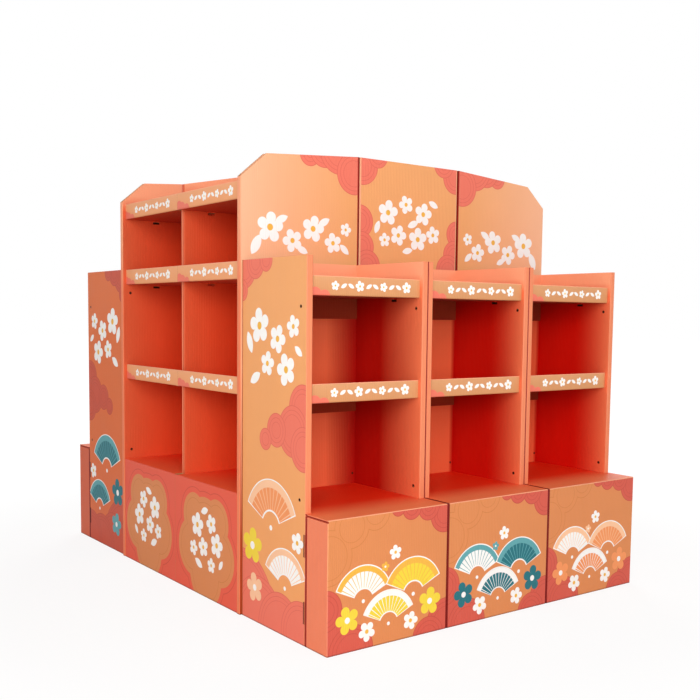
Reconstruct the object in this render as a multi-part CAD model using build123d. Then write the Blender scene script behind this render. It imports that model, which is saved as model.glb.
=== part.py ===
from build123d import *
import os

# A four-sided island display of folded corrugated board. Two rows of three open cabinets stand
# back to back, a tall two-column unit closes each end, and two panels fill the middle above them.
# Millimetres, +Z up, origin on the floor under the centre. The front row faces -Y.

# Board and folds
BOARD = 4.0                 # thickness of the corrugated sheet
WALL = 22.0                 # a wall of two sheets with a hollow between them
FOLD = 5.0                  # outside radius of a shelf lip's fold; inside it is a sharp crease
CREASE = 2.5                # flat left along the scored folds of walls, panels and base boxes

# Heights, counted up from the floor
BASE_HEIGHT = 415.0         # top of every base box, the floor of the lowest space
LOWER_SPACE = 335.0         # base top to the underside of the first shelf, in every unit
ROW_UPPER_SPACE = 331.0     # first to second shelf of a row cabinet
ROW_RIM = 119.0             # second shelf to the top of a row cabinet
END_MIDDLE_SPACE = 389.0    # first to second shelf of an end unit
END_UPPER_SPACE = 266.0     # second to third shelf of an end unit
END_RIM = 69.0              # third shelf to the top of an end unit's front edge
CHAMFER_RISE = 84.0         # cut-off front corner of an end unit's side wall
CHAMFER_RUN = 99.0
CROWN_RISE = 28.0           # slope from the cut-off corner up to the back of the wall
DIVIDER_RISE = 95.0         # third shelf to the top of the divider's front edge

# Plan of the row cabinets
ROW_SIDES = ("left", "middle", "right")
CABINET_WIDTH = 479.2
CABINET_DEPTH = 385.0
CABINET_GAP = 0.8           # between neighbours in a row
BASE_PROJECTION = 120.0     # how far a base box stands out in front of the walls
LID_SLIT = 3.0              # gap under the lid's two side edges, down to the side panels
LID_SLIT_DEPTH = 3.0

# Plan of the end units and the centre
END_WIDTH = 985.0
END_PROUD = 8.0             # how far an end unit stands out past the rows' side walls
END_TRIM = 1.2              # an end unit's back short of the joint between two cabinets
END_BASE_RECESS = 2.0       # base front behind the wall fronts
DIVIDER_SETBACK = 37.0      # divider front behind the wall fronts
ROW_GAP = 0.5               # between a row's backs and the end units
CENTRE_GAP = 5.0            # between a centre panel and the end units
CENTRE_FLANGE = 160.0       # depth of a centre panel's two side flanges

# Shelf trays
LIP_HEIGHT = 60.0
LIP_RECESS = 15.0           # lip face behind the wall fronts
BACK_FLANGE = 72.0          # flange turned down behind the shelf
SIDE_CLEARANCE = 0.8        # tray or box to the wall beside it
BACK_CLEARANCE = 0.5        # tray, box or divider to the wall behind it
LIP_JOINT = 0.8             # between two lips or base fronts that meet before the divider

# Tongues punched out of the walls and folded in under the shelves, whose back flanges are glued on
TONGUE_LENGTH = 28.0
TONGUE_REACH = 12.0
TONGUE_SETBACK = 150.0      # wall front to the tongue's middle

# Locking tabs behind a row's base box, and their slots in the wall fronts
TAB_LENGTH = 70.0
TAB_REACH = 13.0
TAB_INSET = 5.0             # side wall's outer face to the tab
TAB_CLEARANCE = 1.0
TAB_MIDDLES = (104.0, 314.0)

# Holes for the plastic screws that join neighbouring units
JOIN_RADIUS = 4.0
JOIN_SETBACK = 33.0         # from the wall front
JOIN_ABOVE_BASE = 38.0
JOIN_BELOW_SHELF = 34.0

# Sizes worked out from the ones above
FIRST_SHELF = BASE_HEIGHT + LOWER_SPACE
ROW_SHELVES = {"lower": FIRST_SHELF, "upper": FIRST_SHELF + ROW_UPPER_SPACE}
ROW_HEIGHT = ROW_SHELVES["upper"] + ROW_RIM
END_MIDDLE_SHELF = FIRST_SHELF + END_MIDDLE_SPACE
END_SHELVES = {
    "lower": FIRST_SHELF,
    "middle": END_MIDDLE_SHELF,
    "upper": END_MIDDLE_SHELF + END_UPPER_SPACE,
}
END_FRONT_HEIGHT = END_SHELVES["upper"] + END_RIM
END_SHOULDER = END_FRONT_HEIGHT + CHAMFER_RISE
END_HEIGHT = END_SHOULDER + CROWN_RISE
ROW_PITCH = CABINET_WIDTH + CABINET_GAP
ROW_LENGTH = len(ROW_SIDES) * ROW_PITCH - CABINET_GAP
ROW_MOUTH = END_WIDTH / 2 + ROW_GAP + CABINET_DEPTH
END_MOUTH = ROW_LENGTH / 2 + END_PROUD
END_DEPTH = CABINET_WIDTH + END_PROUD - END_TRIM
CENTRE_WIDTH = 2 * (END_MOUTH - END_DEPTH - CENTRE_GAP)
COLUMN_WIDTH = (END_WIDTH - 3 * WALL) / 2


def block(x, y, z):
    """Box from three (low, high) pairs."""
    size = [high - low for low, high in (x, y, z)]
    middle = [(high + low) / 2 for low, high in (x, y, z)]
    return Pos(*middle) * Box(*size)


def folded(points, folds):
    """Face inside an outline, rounded at the corners where the board's outside bends round a fold."""
    face = make_face(Polyline(*points, close=True))
    corners = [face.vertices().sort_by_distance(points[i])[0] for i in folds]
    return fillet(corners, FOLD)


def creased(points, creases):
    """Face inside an outline, with a flat at the corners where the board is scored and bent."""
    face = make_face(Polyline(*points, close=True))
    return chamfer([face.vertices().sort_by_distance(points[i])[0] for i in creases], CREASE)


def inset_face(points):
    """Face inside an anticlockwise right-angled outline, smaller by the board's thickness all round."""
    moved = []
    for i, point in enumerate(points):
        before = Vector(*point) - Vector(*points[i - 1])
        after = Vector(*points[(i + 1) % len(points)]) - Vector(*point)
        inward = [Vector(-edge.Y, edge.X).normalized() * BOARD for edge in (before, after)]
        moved.append(Vector(*point) + inward[0] + inward[1])
    return make_face(Polyline(*moved, close=True))


def double_wall_shell(width, depth, height):
    """Three hollow walls folded from one sheet, open to the front: the mouth is at Y = 0."""
    half = width / 2
    inner = half - WALL
    back = depth - WALL
    outline = [(-half, 0), (-inner, 0), (-inner, back), (inner, back),
               (inner, 0), (half, 0), (half, depth), (-half, depth)]
    return extrude(creased(outline, (0, 1, 4, 5)) - inset_face(outline), height)


def tongue_cut(face_x, side, shelf):
    """Opening left in a sheet by its tongue; side is +1 where the space is towards +X."""
    x = sorted((face_x + side, face_x - side * (BOARD + 1)))
    y = (TONGUE_SETBACK - TONGUE_LENGTH / 2, TONGUE_SETBACK + TONGUE_LENGTH / 2)
    return block(x, y, (shelf - TONGUE_REACH, shelf - BOARD))


def tongue(face_x, side, shelf):
    """Tongue folded in level with the underside of a shelf."""
    x = sorted((face_x, face_x + side * TONGUE_REACH))
    y = (TONGUE_SETBACK - TONGUE_LENGTH / 2, TONGUE_SETBACK + TONGUE_LENGTH / 2)
    return block(x, y, (shelf - BOARD, shelf))


def side_joints(width, heights):
    """Drills near the front edges of two side walls whose drilled faces are that far apart."""
    drill = Rot(0, 90, 0) * Cylinder(JOIN_RADIUS, width + 2)
    return [Pos(0, JOIN_SETBACK, z) * drill for z in heights]


def tab_slots():
    """Slots in the front corners of a row cabinet's walls for the base box's tabs."""
    half = TAB_LENGTH / 2 + TAB_CLEARANCE
    outer = CABINET_WIDTH / 2 + 1
    inner = CABINET_WIDTH / 2 - TAB_INSET - BOARD - TAB_CLEARANCE
    slots = []
    for middle in TAB_MIDDLES:
        for x in ((-outer, -inner), (inner, outer)):
            slots.append(block(x, (-1, BOARD + 1), (middle - half, middle + half)))
    return slots


def row_shell(drilled):
    """Walls of a row cabinet; a drilled one can be joined to its neighbours."""
    face = CABINET_WIDTH / 2 - WALL
    shell = double_wall_shell(CABINET_WIDTH, CABINET_DEPTH, ROW_HEIGHT)
    cuts = tab_slots()
    added = []
    for shelf in ROW_SHELVES.values():
        for side in (-1, 1):
            cuts.append(tongue_cut(side * face, -side, shelf))
            added.append(tongue(side * face, -side, shelf))
    if drilled:
        heights = (BASE_HEIGHT + JOIN_ABOVE_BASE, ROW_SHELVES["upper"] - JOIN_BELOW_SHELF)
        cuts += side_joints(CABINET_WIDTH, heights)
    return shell - cuts + added


def lid_slits(side_x, depth_range):
    """Slits under a lid's two side edges, cut into the side panels but not through them."""
    z = (BASE_HEIGHT - BOARD - LID_SLIT, BASE_HEIGHT - BOARD)
    deep = side_x - LID_SLIT_DEPTH
    return [block(x, depth_range, z) for x in ((-side_x - 1, -deep), (deep, side_x + 1))]


def row_base_box():
    """Closed carton: its front stands out before the walls, the rest fits between them."""
    half = CABINET_WIDTH / 2
    inner = half - WALL - SIDE_CLEARANCE
    seat = -BACK_CLEARANCE
    back = CABINET_DEPTH - WALL - BACK_CLEARANCE
    outline = [(-half, -BASE_PROJECTION), (half, -BASE_PROJECTION), (half, seat), (inner, seat),
               (inner, back), (-inner, back), (-inner, seat), (-half, seat)]
    carton = extrude(creased(outline, (0, 1)), BASE_HEIGHT)
    front_edge = carton.faces().sort_by(Axis.Z)[-1].edges().sort_by(Axis.Y)[0]
    carton = chamfer(front_edge, CREASE)
    carton -= Pos(0, 0, BOARD) * extrude(inset_face(outline), BASE_HEIGHT - 2 * BOARD)
    carton -= lid_slits(half, (CREASE - BASE_PROJECTION, seat + 1))
    return carton + base_tabs(seat)


def base_tabs(seat):
    """Tabs that lock into the slots in the wall fronts."""
    outer = CABINET_WIDTH / 2 - TAB_INSET
    half = TAB_LENGTH / 2
    tabs = []
    for middle in TAB_MIDDLES:
        for x in ((-outer, BOARD - outer), (outer - BOARD, outer)):
            tabs.append(block(x, (seat, TAB_REACH), (middle - half, middle + half)))
    return tabs


def shelf_tray(width, depth, lip_overhang=0.0):
    """Shelf with its front lip turned up and its back flange turned down.

    The lip's face is at Y = 0 and the shelf's underside at Z = 0. lip_overhang carries the lip on
    past the shelf's +X side.
    """
    profile = [(0, LIP_HEIGHT), (0, 0), (depth - BOARD, 0), (depth - BOARD, -BACK_FLANGE),
               (depth, -BACK_FLANGE), (depth, BOARD), (BOARD, BOARD), (BOARD, LIP_HEIGHT)]
    tray = extrude(Plane.YZ * folded(profile, (1,)), width / 2, both=True)
    if lip_overhang > 0:
        tray += block((width / 2, width / 2 + lip_overhang), (0, BOARD), (0, LIP_HEIGHT))
    return tray


def above_edge(edge):
    """Everything above a top edge that runs from the front to the back, given by its (Y, Z) points."""
    sky = END_HEIGHT + WALL
    front, back = edge[0], edge[-1]
    outline = [(front[0] - WALL, front[1]), *edge, (back[0] + WALL, back[1]),
               (back[0] + WALL, sky), (front[0] - WALL, sky)]
    return extrude(Plane.YZ * make_face(Polyline(*outline, close=True)), END_WIDTH, both=True)


def end_shell():
    """Walls of an end unit, with the cut-off front corners and the rising top edge."""
    face = END_WIDTH / 2 - WALL
    shell = double_wall_shell(END_WIDTH, END_DEPTH, END_HEIGHT)
    edge = [(0, END_FRONT_HEIGHT), (CHAMFER_RUN, END_SHOULDER), (END_DEPTH, END_HEIGHT)]
    cuts = [above_edge(edge)]
    added = []
    for shelf in END_SHELVES.values():
        for side in (-1, 1):
            cuts.append(tongue_cut(side * face, -side, shelf))
            added.append(tongue(side * face, -side, shelf))
    heights = (BASE_HEIGHT + JOIN_ABOVE_BASE, END_SHELVES["middle"] - JOIN_BELOW_SHELF)
    cuts += side_joints(2 * (face + BOARD), heights)
    return shell - cuts + added


def end_divider():
    """Flat sleeve that stands between the two columns of an end unit."""
    half = WALL / 2
    back = END_DEPTH - WALL - BACK_CLEARANCE
    outline = [(-half, DIVIDER_SETBACK), (half, DIVIDER_SETBACK), (half, back), (-half, back)]
    sleeve = extrude(creased(outline, (0, 1)) - inset_face(outline), END_HEIGHT)
    cuts = [above_edge([(DIVIDER_SETBACK, END_SHELVES["upper"] + DIVIDER_RISE), (back, END_HEIGHT)])]
    added = []
    for shelf in END_SHELVES.values():
        for side in (-1, 1):
            cuts.append(tongue_cut(side * half, side, shelf))
            added.append(tongue(side * half, side, shelf))
    return sleeve - cuts + added


def end_base_box(width, overhang):
    """Closed carton under one column; its front panel runs on past the +X side over the divider."""
    half = width / 2
    back = END_DEPTH - WALL - BACK_CLEARANCE
    outline = [(-half, END_BASE_RECESS), (half, END_BASE_RECESS), (half, back), (-half, back)]
    carton = extrude(creased(outline, (0,)), BASE_HEIGHT)
    front = (END_BASE_RECESS, END_BASE_RECESS + BOARD)
    carton += block((half, half + overhang), front, (0, BASE_HEIGHT))
    front_edge = carton.faces().sort_by(Axis.Z)[-1].edges().sort_by(Axis.Y)[0]
    carton = chamfer(front_edge, CREASE)
    return carton - Pos(0, 0, BOARD) * extrude(inset_face(outline), BASE_HEIGHT - 2 * BOARD)


def centre_panel():
    """Tall panel with its two sides folded back, which fills the middle between the end units."""
    half = CENTRE_WIDTH / 2
    sheet = [(-half, CENTRE_FLANGE), (-half, 0), (half, 0), (half, CENTRE_FLANGE),
             (half - BOARD, CENTRE_FLANGE), (half - BOARD, BOARD),
             (BOARD - half, BOARD), (BOARD - half, CENTRE_FLANGE)]
    return extrude(creased(sheet, (1, 2)), END_HEIGHT)


def row_cabinet(drilled):
    """Pieces of one row cabinet, with its mouth at Y = 0 facing -Y."""
    pieces = {"shell": row_shell(drilled), "base_box": row_base_box()}
    width = CABINET_WIDTH - 2 * (WALL + SIDE_CLEARANCE)
    depth = CABINET_DEPTH - WALL - BACK_CLEARANCE - LIP_RECESS
    for name, height in ROW_SHELVES.items():
        pieces[f"{name}_tray"] = Pos(0, LIP_RECESS, height) * shelf_tray(width, depth)
    return pieces


def end_unit():
    """Pieces of one end unit, with its mouth at Y = 0 facing -Y; "near" is the column on the -X side."""
    pieces = {"shell": end_shell(), "divider": end_divider()}
    width = COLUMN_WIDTH - 2 * SIDE_CLEARANCE
    depth = END_DEPTH - WALL - BACK_CLEARANCE - LIP_RECESS
    overhang = WALL / 2 + SIDE_CLEARANCE - LIP_JOINT / 2
    middle = (COLUMN_WIDTH + WALL) / 2
    column = {"base_box": end_base_box(width, overhang)}
    for name, height in END_SHELVES.items():
        column[f"{name}_tray"] = Pos(0, LIP_RECESS, height) * shelf_tray(width, depth, overhang)
    for name, piece in column.items():
        placed = Pos(-middle, 0, 0) * piece
        pieces[f"near_{name}"] = placed
        pieces[f"far_{name}"] = mirror(placed, Plane.YZ)
    return pieces


def assemble():
    """All pieces of the display in place, by node name."""
    nodes = {}
    rows = {"front": row_cabinet(drilled=True), "back": row_cabinet(drilled=False)}
    for i, side in enumerate(ROW_SIDES):
        x = (i - (len(ROW_SIDES) - 1) / 2) * ROW_PITCH
        for name in rows["front"]:
            nodes[f"front_{side}_{name}"] = Pos(x, -ROW_MOUTH, 0) * rows["front"][name]
            nodes[f"back_{side}_{name}"] = Pos(x, ROW_MOUTH, 0) * Rot(0, 0, 180) * rows["back"][name]
    for name, piece in end_unit().items():
        left = name.replace("near", "back").replace("far", "front")
        right = name.replace("near", "front").replace("far", "back")
        nodes[f"left_end_{left}"] = Pos(-END_MOUTH, 0, 0) * Rot(0, 0, -90) * piece
        nodes[f"right_end_{right}"] = Pos(END_MOUTH, 0, 0) * Rot(0, 0, 90) * piece
    panel = Pos(0, -END_WIDTH / 2, 0) * centre_panel()
    nodes["front_centre_panel"] = panel
    nodes["back_centre_panel"] = Rot(0, 0, 180) * panel
    return nodes


os.makedirs("parts", exist_ok=True)
for node, piece in assemble().items():
    export_step(piece, f"parts/{node}.step")
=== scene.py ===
"""Looks of a cardboard island display stand: printed board, raw edges, studio light and camera."""

import logging
import math
from dataclasses import dataclass
from enum import Enum
from functools import reduce
from typing import Any, Mapping, Sequence, Union

import bpy
from mathutils import Matrix, Vector

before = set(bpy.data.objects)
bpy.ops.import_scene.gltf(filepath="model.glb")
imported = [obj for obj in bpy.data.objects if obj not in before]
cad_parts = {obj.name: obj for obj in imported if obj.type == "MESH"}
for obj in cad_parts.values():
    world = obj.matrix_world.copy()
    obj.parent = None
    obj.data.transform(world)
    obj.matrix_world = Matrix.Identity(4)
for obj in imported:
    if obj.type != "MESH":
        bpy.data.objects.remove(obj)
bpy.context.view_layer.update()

log = logging.getLogger("display_stand")

Colour = tuple[float, float, float, float]
Number = Union["Value", float, int]
Lobe = tuple[float, float, float]
Spot = tuple[float, float, float, float]

# A face is told by its place, within these margins in metres, and by the way its normal points.
INNER_MARGIN = 0.0008
OUTER_MARGIN = 0.0009
FOLD_DEPTH = 0.0052
HOLE_EDGE = 0.0006
SIDEWAYS = 0.6
FLAT_TOP = 0.9
SQUARE_ON = 0.7
SLOPING_EDGE = 0.5
FORWARD_FOLD = -0.05
FORWARD_FRONT = -0.3
BENT = 0.15

# Proportions of the printed motifs.
PETAL_SHARE = 0.52
PETAL_ROUNDNESS = 0.55
HEART_SHARE = 0.22
LEAF_BOW = 0.42
CLOUD_RINGS = ((0.001, 0.0022), (0.015, 0.0018), (0.029, 0.0016))
SMALLEST_RING = 0.01


def ink(code: str) -> Colour:
    """Turns a printed colour into the linear one that a shader takes.

    Args:
        code: Six hexadecimal figures of an sRGB colour.

    Returns:
        Linear red, green, blue and an alpha of 1.
    """
    parts = [int(code[i:i + 2], 16) / 255 for i in (0, 2, 4)]
    red, green, blue = (p / 12.92 if p <= 0.04045 else ((p + 0.055) / 1.055) ** 2.4 for p in parts)
    return red, green, blue, 1.0


class Value:
    """A number that varies over a surface; arithmetic on it adds Math nodes."""

    def __init__(self, graph: "Graph", socket: bpy.types.NodeSocket) -> None:
        """Wraps one output socket of a graph."""
        self.graph = graph
        self.socket = socket

    def __add__(self, other: Number) -> "Value":
        """Sum."""
        return self.graph.math("ADD", self, other)

    def __radd__(self, other: Number) -> "Value":
        """Sum, with the number first."""
        return self.graph.math("ADD", other, self)

    def __sub__(self, other: Number) -> "Value":
        """Difference."""
        return self.graph.math("SUBTRACT", self, other)

    def __rsub__(self, other: Number) -> "Value":
        """Difference, with the number first."""
        return self.graph.math("SUBTRACT", other, self)

    def __mul__(self, other: Number) -> "Value":
        """Product."""
        return self.graph.math("MULTIPLY", self, other)

    def __rmul__(self, other: Number) -> "Value":
        """Product, with the number first."""
        return self.graph.math("MULTIPLY", other, self)

    def __truediv__(self, other: Number) -> "Value":
        """Quotient."""
        return self.graph.math("DIVIDE", self, other)

    def __rtruediv__(self, other: Number) -> "Value":
        """Quotient, with the number first."""
        return self.graph.math("DIVIDE", other, self)

    def __pow__(self, other: Number) -> "Value":
        """Power."""
        return self.graph.math("POWER", self, other)

    def __neg__(self) -> "Value":
        """Opposite number."""
        return self.graph.math("MULTIPLY", self, -1.0)

    def __abs__(self) -> "Value":
        """Size without its sign."""
        return self.graph.math("ABSOLUTE", self)

    def __gt__(self, other: Number) -> "Value":
        """Mask: 1 where this value is the larger."""
        return self.graph.math("GREATER_THAN", self, other)

    def __lt__(self, other: Number) -> "Value":
        """Mask: 1 where this value is the smaller."""
        return self.graph.math("LESS_THAN", self, other)

    def smaller(self, other: Number) -> "Value":
        """The smaller of two values: the union of two shapes given as distances."""
        return self.graph.math("MINIMUM", self, other)

    def larger(self, other: Number) -> "Value":
        """The larger of two values: what two shapes given as distances share."""
        return self.graph.math("MAXIMUM", self, other)

    def ramp(self, zero: float, one: float) -> "Value":
        """Fades from 0 to 1 between two levels of this value.

        Args:
            zero: Level at which the fade is 0.
            one: Level at which the fade is 1.

        Returns:
            The fade, held between 0 and 1.
        """
        made = self.graph.node("ShaderNodeMapRange", {"clamp": True},
                               {"Value": self, "From Min": zero, "From Max": one})
        return Value(self.graph, made.outputs[0])


class Graph:
    """The node tree of one material, or of the world."""

    def __init__(self, owner: Union[bpy.types.Material, bpy.types.World]) -> None:
        """Empties the owner's node tree.

        Args:
            owner: The material or world.
        """
        self.owner = owner
        owner.use_nodes = True
        self.tree = owner.node_tree
        self.tree.nodes.clear()

    @classmethod
    def material(cls, name: str) -> "Graph":
        """Graph of a new material."""
        return cls(bpy.data.materials.new(name))

    def node(self, kind: str, settings: Mapping[str, Any], inputs: Mapping[Any, Any]) -> bpy.types.Node:
        """Adds one node.

        Args:
            kind: Blender's name for the node type.
            settings: Attributes of the node, set before its sockets.
            inputs: Values or links by socket name or number.

        Returns:
            The new node.
        """
        made = self.tree.nodes.new(kind)
        for name, setting in settings.items():
            setattr(made, name, setting)
        for key, given in inputs.items():
            given = given.socket if isinstance(given, Value) else given
            if isinstance(given, bpy.types.NodeSocket):
                self.tree.links.new(given, made.inputs[key])
            else:
                made.inputs[key].default_value = given
        return made

    def math(self, operation: str, *values: Number) -> Value:
        """Math node of one, two or three values."""
        return Value(self, self.node("ShaderNodeMath", {"operation": operation},
                                     dict(enumerate(values))).outputs[0])

    def mix(self, factor: Value, below: Any, above: Any) -> bpy.types.NodeSocket:
        """Mixes two colours.

        Args:
            factor: Mask of the colour on top.
            below: Colour or socket where the mask is 0.
            above: Colour or socket where the mask is 1.

        Returns:
            The mixed colour's socket.
        """
        return self.node("ShaderNodeMix", {"data_type": "RGBA"}, {0: factor, 6: below, 7: above}).outputs[2]

    def noise(self, vector: bpy.types.NodeSocket, scale: float, detail: float = 2.0) -> Value:
        """Soft noise between 0 and 1 that repeats about `scale` times a metre."""
        made = self.node("ShaderNodeTexNoise", {}, {"Vector": vector, "Scale": scale, "Detail": detail})
        return Value(self, made.outputs[0])


@dataclass(frozen=True)
class Place:
    """Where a unit stands: its mouth's middle on the floor, and quarter turns from facing -Y."""

    x: float
    y: float
    quarter: int


class Local:
    """A surface point in its unit's own frame: across, depth behind the mouth, height, and its normal."""

    def __init__(self, graph: Graph, place: Place, pitch: float = 0.0) -> None:
        """Reads the point and its normal.

        Args:
            graph: The material's graph.
            place: The unit's place.
            pitch: Width after which the frame repeats to the side, or 0 for none.
        """
        self.graph = graph
        source = graph.node("ShaderNodeTexCoord", {}, {})
        self.point = source.outputs["Object"]
        turn = (0.0, 0.0, place.quarter * math.pi / 2)
        moved = graph.node("ShaderNodeMapping", {"vector_type": "TEXTURE"},
                           {"Vector": self.point, "Location": (place.x, place.y, 0.0), "Rotation": turn})
        split = graph.node("ShaderNodeSeparateXYZ", {}, {0: moved.outputs[0]})
        self.side, self.depth, self.height = (Value(graph, out) for out in split.outputs)
        self.across = self.side
        if pitch > 0:
            self.across = graph.math("WRAP", self.side, pitch / 2, -pitch / 2)
        faced = graph.node("ShaderNodeMapping", {"vector_type": "TEXTURE"},
                           {"Vector": source.outputs["Normal"], "Rotation": turn})
        split = graph.node("ShaderNodeSeparateXYZ", {}, {0: faced.outputs[0]})
        self.facing_side, self.facing_back, self.facing_up = (Value(graph, out) for out in split.outputs)

    def fluting(self, pitch: float) -> Value:
        """Wave of the flutes, which run upright in walls and front to back in shelves.

        Args:
            pitch: Distance between two flutes.

        Returns:
            A wave between -1 and 1.
        """
        turned = abs(self.facing_side)
        along = self.depth * turned + self.side * (1.0 - turned)
        return self.graph.math("SINE", along * (2 * math.pi / pitch))

    def raw_edge(self, pitch: float) -> Value:
        """Wave of the flutes as a cut edge shows them, along whichever way the edge runs."""
        return self.graph.math("SINE", (self.side + self.depth) * (2 * math.pi / pitch))


class Panel:
    """A flat printed face with its own two coordinates, on which shapes are signed distances."""

    def __init__(self, graph: Graph, across: Value, up: Value) -> None:
        """Lays the two coordinates on the face.

        Args:
            graph: The material's graph.
            across: Coordinate across the face.
            up: Coordinate up the face.
        """
        self.graph = graph
        self.across = across
        self.up = up
        self.point = graph.node("ShaderNodeCombineXYZ", {}, {0: across, 1: up}).outputs[0]

    def reach(self, x: float, y: float) -> Value:
        """Distance from a point of the face."""
        made = self.graph.node("ShaderNodeVectorMath", {"operation": "DISTANCE"},
                               {0: self.point, 1: (x, y, 0.0)})
        return Value(self.graph, made.outputs["Value"])

    def angle(self, x: float, y: float) -> Value:
        """Direction as seen from a point of the face, in radians from the across axis."""
        return self.graph.math("ARCTAN2", self.up - y, self.across - x)

    def disc(self, x: float, y: float, radius: float) -> Value:
        """Round spot."""
        return self.reach(x, y) - radius

    def cloud(self, lobes: Sequence[Lobe]) -> Value:
        """Cloud bank made of round lobes.

        Args:
            lobes: Middle and radius of each lobe.

        Returns:
            Distance from the bank's edge, negative inside.
        """
        return reduce(lambda bank, lobe: bank.smaller(lobe), (self.disc(*lobe) for lobe in lobes))

    def blossom(self, x: float, y: float, radius: float, turn: float = 0.3, petals: int = 5) -> Value:
        """Open flower with rounded petals.

        Args:
            x: Middle across.
            y: Middle up.
            radius: From the middle to a petal's tip.
            turn: Direction of the first petal in radians.
            petals: Number of petals.

        Returns:
            Distance from the flower's edge, negative inside.
        """
        swing = self.angle(x, y) * (petals / 2) - turn * petals / 2
        lobe = abs(self.graph.math("COSINE", swing)) ** PETAL_ROUNDNESS
        return self.reach(x, y) - (lobe * (PETAL_SHARE * radius) + (1.0 - PETAL_SHARE) * radius)

    def leaf(self, x: float, y: float, length: float, turn: float) -> Value:
        """Pointed leaf: what two large discs share.

        Args:
            x: Middle across.
            y: Middle up.
            length: From tip to tip.
            turn: Direction of the leaf in radians.

        Returns:
            Distance from the leaf's edge, negative inside.
        """
        offset = LEAF_BOW * length
        radius = math.hypot(offset, length / 2)
        dx, dy = -math.sin(turn) * offset, math.cos(turn) * offset
        return self.disc(x + dx, y + dy, radius).larger(self.disc(x - dx, y - dy, radius))

    def fan(self, x: float, y: float, inner: float, outer: float, half: float) -> Value:
        """Open folding fan that points up.

        Args:
            x: Pivot across.
            y: Pivot up.
            inner: Radius where the leaf begins.
            outer: Radius of the leaf's rim.
            half: Half its opening in radians.

        Returns:
            Distance from the fan's edge, negative inside.
        """
        reach = self.reach(x, y)
        spread = (abs(self.angle(x, y) - math.pi / 2) - half) * reach
        return (reach - outer).larger(inner - reach).larger(spread)


@dataclass(frozen=True)
class Inks:
    """Colours of the board and of its print."""

    ground: Colour = ink("ECA468")
    ground_low: Colour = ink("EDA062")
    ground_pale: Colour = ink("F5B58E")
    base_ground: Colour = ink("DA8852")
    coral: Colour = ink("EA7660")
    coral_line: Colour = ink("DA6453")
    base_coral: Colour = ink("E65C44")
    base_coral_line: Colour = ink("CC4634")
    front_coral: Colour = ink("D25A49")
    front_coral_line: Colour = ink("C04C3D")
    ground_line: Colour = ink("CC7A40")
    wall: Colour = ink("F87F53")
    # Painted shade and light of the inner walls: dark tones for their shade, a lighter back-wall tone for
    # the light on it, a darker tone for the end units' walls in shade, and a pale tone for the light above
    # the top shelf.
    wall_painted_shade: Colour = ink("A80902")
    wall_painted_shade_far: Colour = ink("DA0E02")
    wall_back_lit: Colour = ink("FF7A4C")
    end_wall_shaded: Colour = ink("DE6039")
    end_wall_painted_shade: Colour = ink("F0461E")
    wall_painted_light: Colour = ink("FBAA80")
    shelf: Colour = ink("F0603C")
    shelf_front: Colour = ink("FF8454")
    # Painted shade of the base tops behind their fronts.
    shelf_painted_shade: Colour = ink("F8310F")
    end_floor: Colour = ink("FF643A")
    # Unprinted undersides, painted dark red-brown as the shade under the shelves.
    underside_shade: Colour = ink("933014")
    end_underside_shade: Colour = ink("C53A10")
    # Painted shade: the joint, slot, seam, gap and hollow inks stand for the shade in joints, slot mouths,
    # gaps, hollows and holes.
    joint_shade: Colour = ink("961806")
    base_joint_shade: Colour = ink("7A0600")
    slot: Colour = ink("5A0800")
    seam: Colour = ink("A8542C")
    gap: Colour = ink("AA421E")
    shaded_hollow: Colour = ink("3A160A")
    # Pale tone painted as highlights on folded edges and creases.
    fold_highlight: Colour = ink("F3A880")
    front_fold: Colour = ink("EA875E")
    coral_fold: Colour = ink("EA7E55")
    header_fold: Colour = ink("F2A078")
    divider_fold: Colour = ink("DA5C33")
    divider_highlight: Colour = ink("F78D64")
    plain_side: Colour = ink("EA805B")
    lip: Colour = ink("D49462")
    lip_top: Colour = ink("DA9C6C")
    end_lip: Colour = ink("ECA06C")
    end_lip_top: Colour = ink("EEA676")
    white: Colour = ink("F7F4F0")
    teal: Colour = ink("23707A")
    teal_pale: Colour = ink("5FA3A8")
    yellow: Colour = ink("EFD23F")
    amber: Colour = ink("EFB445")
    apricot: Colour = ink("F0955C")
    apricot_pale: Colour = ink("F8C39A")
    kraft: Colour = ink("B98F5E")
    kraft_deep: Colour = ink("7E5F3A")


INKS = Inks()


class Palette(Enum):
    """Colours of the fans and flowers on a base front: main, second."""

    YELLOW = (INKS.yellow, INKS.amber)
    TEAL = (INKS.teal, INKS.teal_pale)
    APRICOT = (INKS.apricot, INKS.apricot_pale)


@dataclass(frozen=True)
class FanShape:
    """Proportions of a printed fan: shares of its radius, half openings in radians, and its ribs."""

    border_start: float = 0.34
    border: float = 0.004
    border_opening: float = 1.16
    leaf_start: float = 0.38
    leaf_opening: float = 1.13
    rim_start: float = 0.84
    pivot: float = 0.055
    ribs: float = 34.0
    rib_level: float = 0.86
    rib_edge: float = 0.01


FAN = FanShape()


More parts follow.
